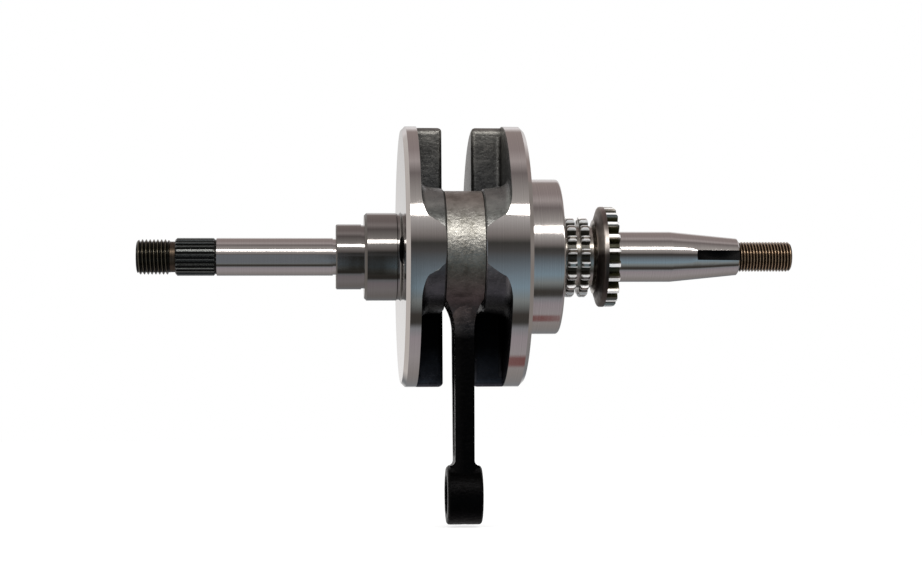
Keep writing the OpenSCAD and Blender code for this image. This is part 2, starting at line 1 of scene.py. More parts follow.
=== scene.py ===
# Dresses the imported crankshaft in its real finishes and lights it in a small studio.
import bpy
import bmesh
import json
import math
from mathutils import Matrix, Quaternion, Vector


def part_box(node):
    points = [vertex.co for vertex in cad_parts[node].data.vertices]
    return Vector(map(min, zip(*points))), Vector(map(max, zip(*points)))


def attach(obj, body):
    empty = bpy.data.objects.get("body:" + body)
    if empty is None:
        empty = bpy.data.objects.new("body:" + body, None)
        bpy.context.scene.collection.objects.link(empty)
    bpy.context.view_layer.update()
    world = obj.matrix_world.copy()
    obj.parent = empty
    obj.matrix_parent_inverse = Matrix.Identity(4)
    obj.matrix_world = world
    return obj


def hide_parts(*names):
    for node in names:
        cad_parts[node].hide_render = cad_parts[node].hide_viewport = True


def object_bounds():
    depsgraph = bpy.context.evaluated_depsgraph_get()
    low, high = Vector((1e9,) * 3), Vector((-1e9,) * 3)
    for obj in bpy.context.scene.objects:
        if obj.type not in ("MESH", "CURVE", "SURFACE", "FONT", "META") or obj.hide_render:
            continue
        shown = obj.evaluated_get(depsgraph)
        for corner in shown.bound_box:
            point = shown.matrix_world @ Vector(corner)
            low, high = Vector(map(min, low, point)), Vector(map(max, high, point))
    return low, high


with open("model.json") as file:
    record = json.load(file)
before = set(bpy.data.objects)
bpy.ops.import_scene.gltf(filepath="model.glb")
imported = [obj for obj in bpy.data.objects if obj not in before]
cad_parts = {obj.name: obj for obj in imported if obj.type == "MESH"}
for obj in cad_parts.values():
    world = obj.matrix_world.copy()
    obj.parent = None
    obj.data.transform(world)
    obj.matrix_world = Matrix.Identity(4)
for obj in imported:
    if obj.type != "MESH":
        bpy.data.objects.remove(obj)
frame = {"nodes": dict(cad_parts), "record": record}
bpy.context.view_layer.update()
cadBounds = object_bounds()
nodes = frame["nodes"]
mounts = {mount["name"]: mount for mount in frame["record"]["mounts"]}
mm = 0.001
print("frame loaded,", len(nodes), "nodes")


# An sRGB hex code as linear red, green, blue and alpha
def linear(code):
    values = [int(code[i:i + 2], 16) / 255 for i in (1, 3, 5)]
    return [v / 12.92 if v <= 0.04045 else ((v + 0.055) / 1.055) ** 2.4 for v in values] + [1.0]


# Adds one node: a setting goes to its property or socket, a link feeds its socket
def addNode(tree, kind, settings=None, links=None):
    node = tree.nodes.new("ShaderNode" + kind)
    for name, value in (settings or {}).items():
        if name == "stops":
            ramp = node.color_ramp
            while len(ramp.elements) < len(value):
                ramp.elements.new(0.5)
            for element, (place, colour) in zip(ramp.elements, value):
                element.position = place
                element.color = linear(colour)
        elif isinstance(name, str) and hasattr(node, name):
            setattr(node, name, value)
        else:
            node.inputs[name].default_value = value
    for name, source in (links or {}).items():
        tree.links.new(source, node.inputs[name])
    return node


def emptyMaterial(name):
    material = bpy.data.materials.new(name)
    material.use_nodes = True
    material.node_tree.nodes.clear()
    return material, material.node_tree


def startMetal(name, settings):
    material, tree = emptyMaterial(name)
    surface = addNode(tree, "BsdfPrincipled", settings)
    addNode(tree, "OutputMaterial", links={"Surface": surface.outputs[0]})
    return material, tree, surface


def addPiece(name, mesh):
    piece = bpy.data.objects.new(name, mesh)
    bpy.context.scene.collection.objects.link(piece)
    return piece


# 1 where a value lies between two limits, falling to 0 outside them over a soft edge
def window(tree, value, low, high, soft):
    rise = addNode(tree, "MapRange", {"From Min": low - soft / 2, "From Max": low + soft / 2},
                   {"Value": value})
    fall = addNode(tree, "MapRange", {"From Min": high - soft / 2, "From Max": high + soft / 2,
                                      "To Min": 1.0, "To Max": 0.0}, {"Value": value})
    return addNode(tree, "Math", {"operation": "MULTIPLY"},
                   {0: rise.outputs[0], 1: fall.outputs[0]}).outputs[0]


# Distance from the shaft's axis, in metres
def axisRadius(tree, place):
    across = addNode(tree, "VectorMath", {"operation": "MULTIPLY", 1: (0, 1, 1)}, {0: place})
    return addNode(tree, "VectorMath", {"operation": "LENGTH"}, {0: across.outputs[0]}).outputs["Value"]


# Painted light by height: a skin's colour is multiplied by bands of painted shade and painted highlight, set
# by height above the shaft's axis in mm
def paintLightByHeight(tree, skin, paintedLight):
    reach = 60  # mm, beyond the webs above and below
    place = addNode(tree, "TexCoord").outputs["Object"]
    up = addNode(tree, "SeparateXYZ", links={0: place})
    level = addNode(tree, "MapRange", {"From Min": -reach * mm, "From Max": reach * mm},
                    {"Value": up.outputs[2]})
    tier = addNode(tree, "ValToRGB", {"stops": [((z + reach) / (2 * reach), colour) for z, colour in paintedLight]},
                   {"Fac": level.outputs[0]})
    return addNode(tree, "Mix", {"data_type": "RGBA", "blend_type": "MULTIPLY", 0: 1.0},
                   {6: skin, 7: tier.outputs[0]}).outputs[2]


# A row of teeth between two places along the shaft: painted shade near black below a radius and a painted
# highlight on the edges, with how much of each there is. The highlight lies between two distances from a
# tooth's middle, in pitches
def toothed(tree, skin, row):
    place = addNode(tree, "TexCoord").outputs["Object"]
    split = addNode(tree, "SeparateXYZ", links={0: place}).outputs
    radius = axisRadius(tree, place)
    inside = window(tree, split[0], row["from"] * mm, row["to"] * mm, 0.05 * mm)
    angle = addNode(tree, "Math", {"operation": "ARCTAN2"}, {0: split[2], 1: split[1]})
    # 50 whole pitches keep the count above 0, and the half puts a tooth's middle at a share of 0.5
    start = 50.5 - row["turn"] * row["teeth"] / 360
    pitches = addNode(tree, "Math", {"operation": "MULTIPLY_ADD", 1: row["teeth"] / math.tau, 2: start},
                      {0: angle.outputs[0]})
    share = addNode(tree, "Math", {"operation": "FRACT"}, {0: pitches.outputs[0]})
    offset = addNode(tree, "Math", {"operation": "SUBTRACT", 1: 0.5}, {0: share.outputs[0]})
    away = addNode(tree, "Math", {"operation": "ABSOLUTE"}, {0: offset.outputs[0]}).outputs[0]
    outside = addNode(tree, "MapRange", {"From Min": (row["glintFrom"] - 0.15) * mm,
                                         "From Max": (row["glintFrom"] + 0.15) * mm}, {"Value": radius})
    edge = addNode(tree, "Math", {"operation": "MULTIPLY"},
                   {0: window(tree, away, *row["glint"], 0.02), 1: outside.outputs[0]})
    deep = addNode(tree, "MapRange", {"From Min": (row["below"] - 0.5) * mm, "From Max": row["below"] * mm,
                                      "To Min": 1.0, "To Max": 0.0}, {"Value": radius})
    shares = []
    for amount, colour in ((deep, row["oil"]), (edge, row["bright"])):
        here = addNode(tree, "Math", {"operation": "MULTIPLY"}, {0: inside, 1: amount.outputs[0]}).outputs[0]
        skin = addNode(tree, "Mix", {"data_type": "RGBA", 7: linear(colour)}, {0: here, 6: skin}).outputs[2]
        shares.append(here)
    return skin, *shares


# A painted shade spot, near black with a crisp edge: an ellipsoid with its centre and reach in mm
def oiled(tree, skin, spot):
    place = addNode(tree, "TexCoord").outputs["Object"]
    centre = tuple(v * mm for v in spot["centre"])
    reach = tuple(v * mm for v in spot["reach"])
    offset = addNode(tree, "VectorMath", {"operation": "SUBTRACT", 1: centre}, {0: place})
    share = addNode(tree, "VectorMath", {"operation": "DIVIDE", 1: reach}, {0: offset.outputs[0]})
    size = addNode(tree, "VectorMath", {"operation": "LENGTH"}, {0: share.outputs[0]})
    spotShare = addNode(tree, "MapRange", {"From Min": 0.92, "From Max": 1.0, "To Min": 1.0, "To Max": 0.0},
                  {"Value": size.outputs["Value"]})
    return addNode(tree, "Mix", {"data_type": "RGBA", 7: linear(spot["colour"])},
                   {0: spotShare.outputs[0], 6: skin}).outputs[2]


# Steel turned on a lathe and then ground: fine rings round the axis and a soft clear reflection.
# It can have rows of teeth with painted shade and painted highlights, painted shade spots, and a dished
# plate with a finish of its own and painted light by height
def turnedSteel(name, spec):
    material, tree, surface = startMetal(name, {
        "Base Color": linear(spec["colour"]), "Metallic": 1.0, "Roughness": spec["roughness"]})
    place = addNode(tree, "TexCoord").outputs["Object"]
    along = addNode(tree, "SeparateXYZ", links={0: place}).outputs[0]
    # the tool's path runs along the shaft and up its faces
    path = addNode(tree, "Math", {"operation": "ADD"}, {0: along, 1: axisRadius(tree, place)}).outputs[0]
    rings = addNode(tree, "TexNoise", {"noise_dimensions": "1D", "Scale": 1 / (spec["ringPitch"] * mm),
                                       "Detail": 3.0, "Roughness": 0.65}, {"W": path})
    wide = addNode(tree, "TexNoise", {"noise_dimensions": "1D", "Scale": 1 / (spec["ringPitch"] * 9 * mm),
                                      "Detail": 1.0}, {"W": path})
    haze = addNode(tree, "TexNoise", {"Scale": 1 / (spec["hazeSize"] * mm), "Detail": 4.0},
                   {"Vector": place})
    both = addNode(tree, "Math", {"operation": "MULTIPLY_ADD", 1: 0.5},
                   {0: wide.outputs[0], 2: haze.outputs[0]})
    rough = addNode(tree, "MapRange", {
        "From Min": 0.45, "From Max": 1.05, "To Min": spec["roughness"] * 0.75,
        "To Max": spec["roughness"] * 1.45}, {"Value": both.outputs[0]}).outputs[0]
    skin = addNode(tree, "ValToRGB", {"stops": [(0.3, spec["shade"]), (0.7, spec["colour"])]},
                   {"Fac": rings.outputs[0]}).outputs[0]
    before = {}  # the metal left by the rows before, 1 at first
    for row in spec.get("rows", ()):
        # painted shade in the roots and a painted highlight on the tooth edges; both lower the metal there,
        # and the highlight adds roughness
        skin, oily, wearAndGlint = toothed(tree, skin, row)
        rough = addNode(tree, "Math", {"operation": "MULTIPLY_ADD", 1: row["scatter"]},
                        {0: wearAndGlint, 2: rough}).outputs[0]
        shadeDulled = addNode(tree, "Math", {"operation": "MULTIPLY_ADD", 1: -row["shadeDull"], 2: 1.0},
                         {0: oily, **before})
        metal = addNode(tree, "Math", {"operation": "MULTIPLY_ADD", 1: -row["glintDull"]},
                        {0: wearAndGlint, 2: shadeDulled.outputs[0]}).outputs[0]
        tree.links.new(metal, surface.inputs["Metallic"])
        before = {2: metal}
    if "plate" in spec:
        plate = spec["plate"]
        here = addNode(tree, "Math", {"operation": "LESS_THAN", 1: plate["until"] * mm},
                       {0: along}).outputs[0]
        tint = addNode(tree, "ValToRGB", {"stops": [(0.3, plate["shade"]), (0.7, plate["colour"])]},
                       {"Fac": rings.outputs[0]})
        # the plate's colour takes painted light by height: a painted highlight and painted shade in bands
        skin = addNode(tree, "Mix", {"data_type": "RGBA"},
                       {0: here, 6: skin, 7: paintLightByHeight(tree, tint.outputs[0], plate["paintedLight"])}).outputs[2]
        times = addNode(tree, "Math", {"operation": "MULTIPLY_ADD", 2: 1.0,
                                       1: plate["roughness"] / spec["roughness"] - 1}, {0: here})
        rough = addNode(tree, "Math", {"operation": "MULTIPLY"}, {0: rough, 1: times.outputs[0]}).outputs[0]
    # painted shade spots
    for spot in spec.get("oil", ()):
        skin = oiled(tree, skin, spot)
    tree.links.new(rough, surface.inputs["Roughness"])
    tree.links.new(skin, surface.inputs["Base Color"])
    bump = addNode(tree, "Bump", {"Strength": 1.0, "Distance": spec["ringDepth"] * mm},
                   {"Height": rings.outputs[0]})
    tree.links.new(bump.outputs[0], surface.inputs["Normal"])
    return material


# Drop forging after tumbling: a glossy hammered skin, wrinkled along the shaft, that sparkles
def forgedSteel(name, spec):
    material, tree, surface = startMetal(name, {
        "Base Color": linear(spec["colour"]), "Metallic": spec["metallic"], "Roughness": spec["roughness"]})
    place = addNode(tree, "TexCoord").outputs["Object"]
    drawn = addNode(tree, "VectorMath", {"operation": "MULTIPLY", 1: (spec["draw"], 1.0, 1.0)}, {0: place})
    dents = addNode(tree, "TexVoronoi", {"feature": "SMOOTH_F1", "Scale": 1 / (spec["dentSize"] * mm),
                                         "Smoothness": 0.6, "Randomness": 1.0}, {"Vector": drawn.outputs[0]})
    grain = addNode(tree, "TexNoise", {"Scale": 1 / (spec["grainSize"] * mm), "Detail": 4.0,
                                       "Roughness": 0.6, "Distortion": 0.4}, {"Vector": drawn.outputs[0]})
    height = addNode(tree, "Math", {"operation": "MULTIPLY_ADD", 1: spec["dentShare"]},
                     {0: dents.outputs["Distance"], 2: grain.outputs[0]})
    bump = addNode(tree, "Bump", {"Strength": 1.0, "Distance": spec["depth"] * mm},
                   {"Height": height.outputs[0]})
    tree.links.new(bump.outputs[0], surface.inputs["Normal"])
    patches = addNode(tree, "TexNoise", {"Scale": 1 / (spec["patchSize"] * mm), "Detail": 6.0,
                                         "Roughness": 0.6}, {"Vector": place})
    tint = addNode(tree, "ValToRGB", {"stops": [(0.32, spec["shade"]), (0.5, spec["colour"]),
                                                (0.72, spec["bright"])]}, {"Fac": patches.outputs[0]})
    # painted shade and painted highlight by height over the skin's colour
    tree.links.new(paintLightByHeight(tree, tint.outputs[0], spec["paintedLight"]), surface.inputs["Base Color"])
    gloss = addNode(tree, "MapRange", {"From Min": 0.35, "From Max": 0.7, "To Min": spec["roughness"] * 0.75,
                                       "To Max": spec["roughness"] * 1.25}, {"Value": grain.outputs[0]})
    tree.links.new(gloss.outputs[0], surface.inputs["Roughness"])
    return material


# Black oxide left by hardening: nearly black with faint grey patches and a hard gloss
def blackOxide(name, spec):
    material, tree, surface = startMetal(name, {"Metallic": 0.7, "Roughness": spec["roughness"]})
    place = addNode(tree, "TexCoord").outputs["Object"]
    grain = addNode(tree, "TexNoise", {"Scale": 1 / (spec["grain"] * mm), "Detail": 4.0}, {"Vector": place})
    skin = addNode(tree, "ValToRGB", {"stops": [(0.5, spec["colour"]), (0.8, spec["bright"])]},
                   {"Fac": grain.outputs[0]}).outputs[0]
    # rows of teeth add painted shade in the roots and a painted highlight on the edges
    for row in spec.get("rows", ()):
        skin = toothed(tree, skin, row)[0]
    tree.links.new(skin, surface.inputs["Base Color"])
    return material


# Rolled thread: its roots are painted darker than its crests, painted shade in the grooves, and its crests
# are rubbed brighter in places
def threadSteel(name, stud):
    material, tree, surface = startMetal(name, {"Metallic": 0.9, "Roughness": stud["roughness"]})
    place = addNode(tree, "TexCoord").outputs["Object"]
    dirt = addNode(tree, "TexNoise", {"Scale": 1 / (stud["grain"] * mm), "Detail": 4.0}, {"Vector": place})
    level = addNode(tree, "MapRange", {"From Min": (stud["radius"] - stud["depth"]) * mm,
                                       "From Max": stud["radius"] * mm}, {"Value": axisRadius(tree, place)})
    wearAndGlint = addNode(tree, "Math", {"operation": "MULTIPLY_ADD", 1: 0.5, 2: -0.25}, {0: dirt.outputs[0]})
    mixed = addNode(tree, "Math", {"operation": "ADD"}, {0: level.outputs[0], 1: wearAndGlint.outputs[0]})
    tint = addNode(tree, "ValToRGB", {"stops": [(0.35, stud["root"]), (0.9, stud["crest"])]},
                   {"Fac": mixed.outputs[0]})
    tree.links.new(tint.outputs[0], surface.inputs["Base Color"])
    return material


# Where a mount's middle lies along the shaft, in mm
def mountX(name):
    return mounts[name]["pos_m"][0] / mm


# Places in mm in the frame
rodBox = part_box("connecting_rod")
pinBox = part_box("crankpin")
rodMiddle = (rodBox[0].x + rodBox[1].x) / 2 / mm
pinY = (pinBox[0].y + pinBox[1].y) / 2 / mm
journalRadius = mounts["left_journal"]["dims"]["r_mm"]
splineLength = 15.8
splineFrom, splineTo = mountX("drive_spline") - splineLength / 2, mountX("drive_spline") + splineLength / 2
# The flywheel's taper, from just inside its large end. Its radius falls by the slope towards its end
taper = {"endX": mountX("flywheel_taper"), "length": 27.3, "endRadius": 7.35, "slope": 0.1}
keyway = {"halfWidth": 2.02, "front": -2.0, "depth": 0.25}  # the least depth below the taper's surface

# Places in mm outwards from the rod's middle plane, along either half
webOuter = 22.6  # the left web's outer face, where its journals start
sealEdge = 0.5  # chamfer at the seal seat's outer end
sealEnd = rodMiddle - mountX("oil_seal_seat") + mounts["oil_seal_seat"]["dims"]["length_mm"] / 2 + sealEdge

# Crank halves: shafts, seats and web rims are ground, and the webs keep the forging's skin inside.
# Pattern sizes in mm, heights in mm above the axis
crankLook = {
    # cylindrical grinding: bright, nearly a mirror, with rings only just seen
    "ground": {"colour": "#c6c1be", "shade": "#bdb8b5", "roughness": 0.07, "ringPitch": 0.45,
               "ringDepth": 0.0012, "hazeSize": 14},
    # the left journals have a thin coat of oil, so they are as smooth but darker
    "journal": {"colour": "#96928f", "shade": "#8f8b88", "roughness": 0.075, "ringPitch": 0.45,
                "ringDepth": 0.0012, "hazeSize": 14},
    # their chamfers and root groove keep the cutter's finish, duller than the ground seats
    "journalEdge": {"colour": "#6f6b68", "shade": "#64605d", "roughness": 0.3, "ringPitch": 0.45,
                    "ringDepth": 0.0012, "hazeSize": 14},
    # the relief beside the spline is straw brown from the heat of hardening, and satin
    "relief": {"colour": "#5c5044", "shade": "#40372e", "roughness": 0.28, "ringPitch": 0.3,
               "ringDepth": 0.01, "hazeSize": 3},
    # the webs' inner sides keep the tumbled forging skin, with painted light by height: a painted highlight
    # beside the big end, painted shade near black below it, a pale bluish painted reflection at the foot and
    # painted highlights near the top
    "forged": {"colour": "#8f8f8d", "shade": "#7c7c7b", "bright": "#a3a29f", "metallic": 0.95,
               "roughness": 0.36, "dentSize": 1.5, "dentShare": 0.5, "grainSize": 0.8, "draw": 0.7,
               "depth": 0.09, "patchSize": 5,
               "paintedLight": [(-60, "#9aa0b2"), (-36, "#202226"), (-22.2, "#141517"), (-20.9, "#505257"),
                         (-18, "#a0a0a8"), (-11, "#b4aeb6"), (7, "#ffffff"), (12, "#d2d6d4"),
                         (16, "#fafefc"), (24.5, "#9a9c9f"), (44, "#a4a3a1"), (51, "#e4e2de")]},
    # the spline is black oxide, with a faint painted highlight along each tooth and painted shade in its
    # roots
    "spline": {"colour": "#171817", "bright": "#222322", "roughness": 0.13, "grain": 1.6,
               "rows": [{"teeth": 24, "turn": 0.0, "glint": (0.11, 0.2), "glintFrom": 7.1, "below": 6.9,
                         "from": splineFrom, "to": splineTo, "oil": "#0b0c0b", "bright": "#7c7f7d"}]},
    # the keyway is near black, darker and duller than the taper round it
    "keyway": {"colour": "#040405", "bright": "#0c0c0e", "roughness": 0.4, "grain": 0.7},
    # painted shade: near-black spots over the crankpin's hole on the web's face and in the journal's root
    # beside it
    "oil": [{"centre": (rodMiddle - webOuter, pinY, 0.0), "reach": (2.6, 6.8, 6.4), "colour": "#070707"},
            {"centre": (rodMiddle - webOuter - 0.1, -journalRadius, 1.3), "reach": (1.2, 9.0, 5.6),
             "colour": "#070707"}],
    "rimDepth": 0.12,  # how far below the rim a face on the inner side counts as forged
}
crankFinish = {
    "ground": turnedSteel("ground_web_and_shaft_steel", {**crankLook["ground"], "oil": crankLook["oil"]}),
    "forged": forgedSteel("tumbled_web_forging_painted_light", crankLook["forged"]),
    "spline": blackOxide("black_oxide_spline", crankLook["spline"]),
    "relief": turnedSteel("heat_tinted_relief", crankLook["relief"]),
    "keyway": blackOxide("black_keyway", crankLook["keyway"]),
    "journal": turnedSteel("ground_left_journal_steel", {**crankLook["journal"], "oil": crankLook["oil"]}),
    "journalEdge": turnedSteel("turned_journal_edge", {**crankLook["journalEdge"], "oil": crankLook["oil"]}),
}
finishOrder = list(crankFinish)

# Threaded ends in mm: 14 mm by 1.5, black with oil, and 12 mm by 1.25, browned by heat
# each thread's root colour is painted shade in its grooves
leftStud = {"radius": 7.0, "pitch": 1.5, "depth": 0.9, "length": 13.3, "endRound": 1.8,
            "crest": "#524d42", "root": "#1a1915", "roughness": 0.2, "grain": 0.6}
rightStud = {"radius": 6.0, "pitch": 1.25, "depth": 0.77, "length": 21.8, "endRound": 1.5,
             "crest": "#a8927a", "root": "#33261c", "roughness": 0.2, "grain": 0.6}
# Crest and flank in half pitches, and how finely the thread is drawn
threadForm = {"crest": 0.125, "flank": 0.66, "steps": 96, "perPitch": 12}
# A centre drill's hole, its depths and radii in mm: a broken edge, a cone, and a pilot with a point
centreHole = [(0, 2.4), (0.15, 2.25), (2.475, 0.9), (6.075, 0.9), (6.975, 0.02)]


# How far a thread lies below its crest, 0 to 1, at a share of the pitch
def threadFlank(share):
    away = abs((share % 1.0) - 0.5) * 2
    return min(1.0, max(0.0, (away - threadForm["crest"]) / threadForm["flank"]))


# Radius that a thread's rounded nose and its start leave, at a distance from the shaft's end in mm
def studLimit(stud, fromEnd):
    start = stud["length"] - fromEnd + stud["radius"] - stud["depth"]
    drop = max(0, stud["endRound"] - fromEnd)
    nose = stud["radius"] - stud["endRound"] + math.sqrt(stud["endRound"] ** 2 - drop ** 2)
    return min(start, nose)


def cutThread(name, half, material):
    endX, outward, stud = half["endX"], half["outward"], half["stud"]
    grid = bmesh.new()
    steps = threadForm["steps"]

    def addRing(fromEnd, radii):
        x = endX - outward * fromEnd
        return [grid.verts.new((x * mm, r * math.cos(i / steps * math.tau) * mm,
                                r * math.sin(i / steps * math.tau) * mm)) for i, r in enumerate(radii)]

    rings = []
    count = int(stud["length"] / stud["pitch"] * threadForm["perPitch"])
    for row in range(count + 1):
        fromEnd = stud["length"] * (1 - row / count)
        limit = studLimit(stud, fromEnd)
        turns = (endX - outward * fromEnd) / stud["pitch"]
        flanks = [stud["radius"] - stud["depth"] * threadFlank(turns - i / steps) for i in range(steps)]
        rings.append(addRing(fromEnd, [min(flank, limit) for flank in flanks]))
    for depth, radius in centreHole:
        rings.append(addRing(depth, [radius] * steps))
    for one, two in zip(rings, rings[1:]):
        for i in range(steps):
            j = (i + 1) % steps
            grid.faces.new((one[i], one[j], two[j], two[i])).smooth = True
    bmesh.ops.recalc_face_normals(grid, faces=grid.faces)
    middle = rings[count // 2][0]  # normals point away from the axis
    if middle.link_faces[0].normal.dot(Vector((0, middle.co.y, middle.co.z))) < 0:
        bmesh.ops.reverse_faces(grid, faces=grid.faces)
    mesh = bpy.data.meshes.new(name)
    grid.to_mesh(mesh)
    grid.free()
    mesh.materials.append(material)
    piece = addPiece(name, mesh)
    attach(piece, "crank")


# Finish of a face outside the left web, from its nearest and farthest place outwards in mm
def leftFinish(face, near, far):
    slack = 0.05
    if near > rodMiddle - splineTo - slack and far < rodMiddle - splineFrom + slack:
        return "spline"
    if near > rodMiddle - splineFrom - slack:
        return "relief"
    if near > webOuter - slack and far < sealEnd + slack:
        slanted = 0.3 < abs(face.normal.x) < 0.95  # a chamfer or a side of the root groove
        return "journalEdge" if slanted else "journal"
    return "ground"


# Finish of a face outside the right web: the keyway's faces reach below the taper's surface
def rightFinish(face, near, far):
    slack = 0.1
    start, end = taper["endX"] - taper["length"] - rodMiddle, taper["endX"] - rodMiddle
    spots = [v.co / mm for v in face.verts]
    onTaper = start < near < end - slack and far < end + slack
    atFront = max(p.y for p in spots) < keyway["front"]
    narrow = max(abs(p.z) for p in spots) < keyway["halfWidth"]
    if not (onTaper and atFront and narrow) or abs(face.normal.x) > 0.95:
        return "ground"
    below = [taper["endRadius"] + (taper["endX"] - p.x) * taper["slope"] - math.hypot(p.y, p.z)
             for p in spots]
    return "keyway" if max(below) > keyway["depth"] else "ground"


# The crank's halves: where each ends in mm, its way outwards, and where its ground disc starts, in mm
# outwards from the rod's middle plane
leftHalf = {"node": "left_crank_half", "endX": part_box("left_crank_half")[0].x / mm, "outward": -1,
            "webInner": 16.7, "stud": leftStud, "finishOf": leftFinish}
rightHalf = {"node": "right_crank_half", "endX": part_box("right_crank_half")[1].x / mm, "outward": 1,
             "webInner": 17.7, "stud": rightStud, "finishOf": rightFinish}


# Copies a crank half without its plain stud and gives each face the finish it has
def dressHalf(name, half):
    node, outward = half["node"], half["outward"]
    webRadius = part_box(node)[1].z / mm - crankLook["rimDepth"]
    studFrom = (half["endX"] - rodMiddle) * outward - half["stud"]["length"]
    mesh = nodes[node].data.copy()
    mesh.name = name
    mesh.materials.clear()
    for finish in finishOrder:
        mesh.materials.append(crankFinish[finish])
    shape = bmesh.new()
    shape.from_mesh(mesh)
    gone = []
    for face in shape.faces:
        outwards = [(v.co.x / mm - rodMiddle) * outward for v in face.verts]
        near, far = min(outwards), max(outwards)
        inner = min(math.hypot(v.co.y, v.co.z) for v in face.verts) / mm
        if near > studFrom - 0.01 or far > studFrom + 0.2:
            gone.append(face)
        elif far < half["webInner"] + 0.02 and inner < webRadius:
            face.material_index = finishOrder.index("forged")
        else:
            face.material_index = finishOrder.index(half["finishOf"](face, near, far))
    bmesh.ops.delete(shape, geom=gone, context="FACES")
    shape.to_mesh(mesh)
    shape.free()
    piece = addPiece(name, mesh)
    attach(piece, "crank")
    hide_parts(node)


dressHalf("left_crank_half_dressed", leftHalf)
dressHalf("right_crank_half_dressed", rightHalf)
cutThread("left_rolled_thread", leftHalf, threadSteel("oiled_black_thread", leftStud))
cutThread("right_rolled_thread", rightHalf, threadSteel("browned_thread_painted_root_shade", rightStud))
print("crank halves dressed and threads cut")


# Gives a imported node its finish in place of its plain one
def dress(node, material):
    for slot in nodes[node].material_slots:
        slot.material = material


# Connecting rod: one drop forging, with painted light by height: a painted highlight across its big end,
# darker downwards to near black on the shank and small end
rodLook = {"colour": "#c4bfb6", "shade": "#a29d93", "bright": "#dbd6cc", "metallic": 0.95, "roughness": 0.4,
           "dentSize": 1.2, "dentShare": 0.5, "grainSize": 0.75, "draw": 0.6, "depth": 0.15, "patchSize": 4,
           "paintedLight": [(-60, "#0b0b0d"), (-34.5, "#0b0b0d"), (-30, "#45454a"), (-20, "#807478"),
                     (-8, "#969490"), (1, "#dfe2e4"), (12, "#d4d7d9"), (20, "#b1acab")]}
dress("connecting_rod", forgedSteel("tumbled_rod_forging_painted_light", rodLook))

# Bearings and pin, from the smoothest to the dullest
bearingLook = {
    # lapped rollers and balls: a clean mirror
    "rolling": {"colour": "#c4c1be", "shade": "#bab7b4", "roughness": 0.08, "ringPitch": 0.5,
                "ringDepth": 0.0015, "hazeSize": 6},
    # ground races: bright, with fine rings
    "race": {"colour": "#c6c1be", "shade": "#b9b4b1", "roughness": 0.1, "ringPitch": 0.4,
             "ringDepth": 0.002, "hazeSize": 12},
    # the ground pin, slightly darker from hardening
    "pin": {"colour": "#b5b1ad", "shade": "#a5a19d", "roughness": 0.12, "ringPitch": 0.4,
            "ringDepth": 0.003, "hazeSize": 10},
    # cages pressed from sheet: satin and warm grey
    "cage": {"colour": "#9a958e", "shade": "#837e78", "roughness": 0.26, "ringPitch": 0.8,
             "ringDepth": 0.006, "hazeSize": 4},
}
rollingSteel = turnedSteel("lapped_roller_steel", bearingLook["rolling"])
raceSteel = turnedSteel("ground_chrome_steel", bearingLook["race"])
cageSteel = turnedSteel("pressed_cage_steel", bearingLook["cage"])
dress("crankpin", turnedSteel("ground_pin_steel", bearingLook["pin"]))
for node in nodes:
    if node.startswith(("big_end_roller", "main_bearing_ball")):
        dress(node, rollingSteel)
    elif node.endswith("_race"):
        dress(node, raceSteel)
    elif "cage" in node:
        dress(node, cageSteel)

# Hobbed and hardened drives, with painted shade between the teeth and painted highlights on their edges. The
# gear's dished plate is duller, with a painted highlight across its middle and painted shade in bands above
# and below it
chainMiddle = mountX("timing_chain_teeth")
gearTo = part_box("pump_drive_gear")[1].x / mm
gearFrom = 2 * mountX("pump_gear_teeth") - gearTo
driveSteel = {"colour": "#b1aba4", "shade": "#8f8a82", "roughness": 0.2, "ringPitch": 0.35,
              "ringDepth": 0.004, "hazeSize": 3}
chainRow = {"teeth": 18, "turn": -3.1, "glint": (0.1, 0.21), "glintFrom": 14.8, "below": 15.2,
            "oil": "#34322b", "bright": "#ffffff", "scatter": 0.2, "shadeDull": 0.5, "glintDull": 0.6}
sprocketLook = {**driveSteel, "rows": [
    {**chainRow, "from": chainMiddle - 1.8, "to": chainMiddle + 1.8},
    {**chainRow, "from": chainMiddle + 3.6, "to": chainMiddle + 7.1}]}
gearLook = {**driveSteel,
            "rows": [{"teeth": 21, "turn": 6.1, "glint": (-0.1, 0.11), "glintFrom": 19.3, "below": 19.4,
                      "from": gearFrom + 0.05, "to": gearTo + 0.1, "oil": "#33321f", "bright": "#ffffff",
                      "scatter": 0.25, "shadeDull": 0.5, "glintDull": 0.6}],
            "plate": {"until": gearFrom + 0.02, "colour": "#d2cac4", "shade": "#aca49d", "roughness": 0.42,
                      "paintedLight": [(-21, "#9a9694"), (-14, "#5e5856"), (-1, "#6a6462"), (2, "#ffffff"),
                                (8, "#ffffff"), (12, "#807a78"), (17, "#a8a2a0"), (21, "#ffffff")]}}
dress("timing_sprocket", turnedSteel("oiled_sprocket_steel", sprocketLook))
dress("pump_drive_gear", turnedSteel("oiled_gear_steel", gearLook))
print("bearings and drives dressed")

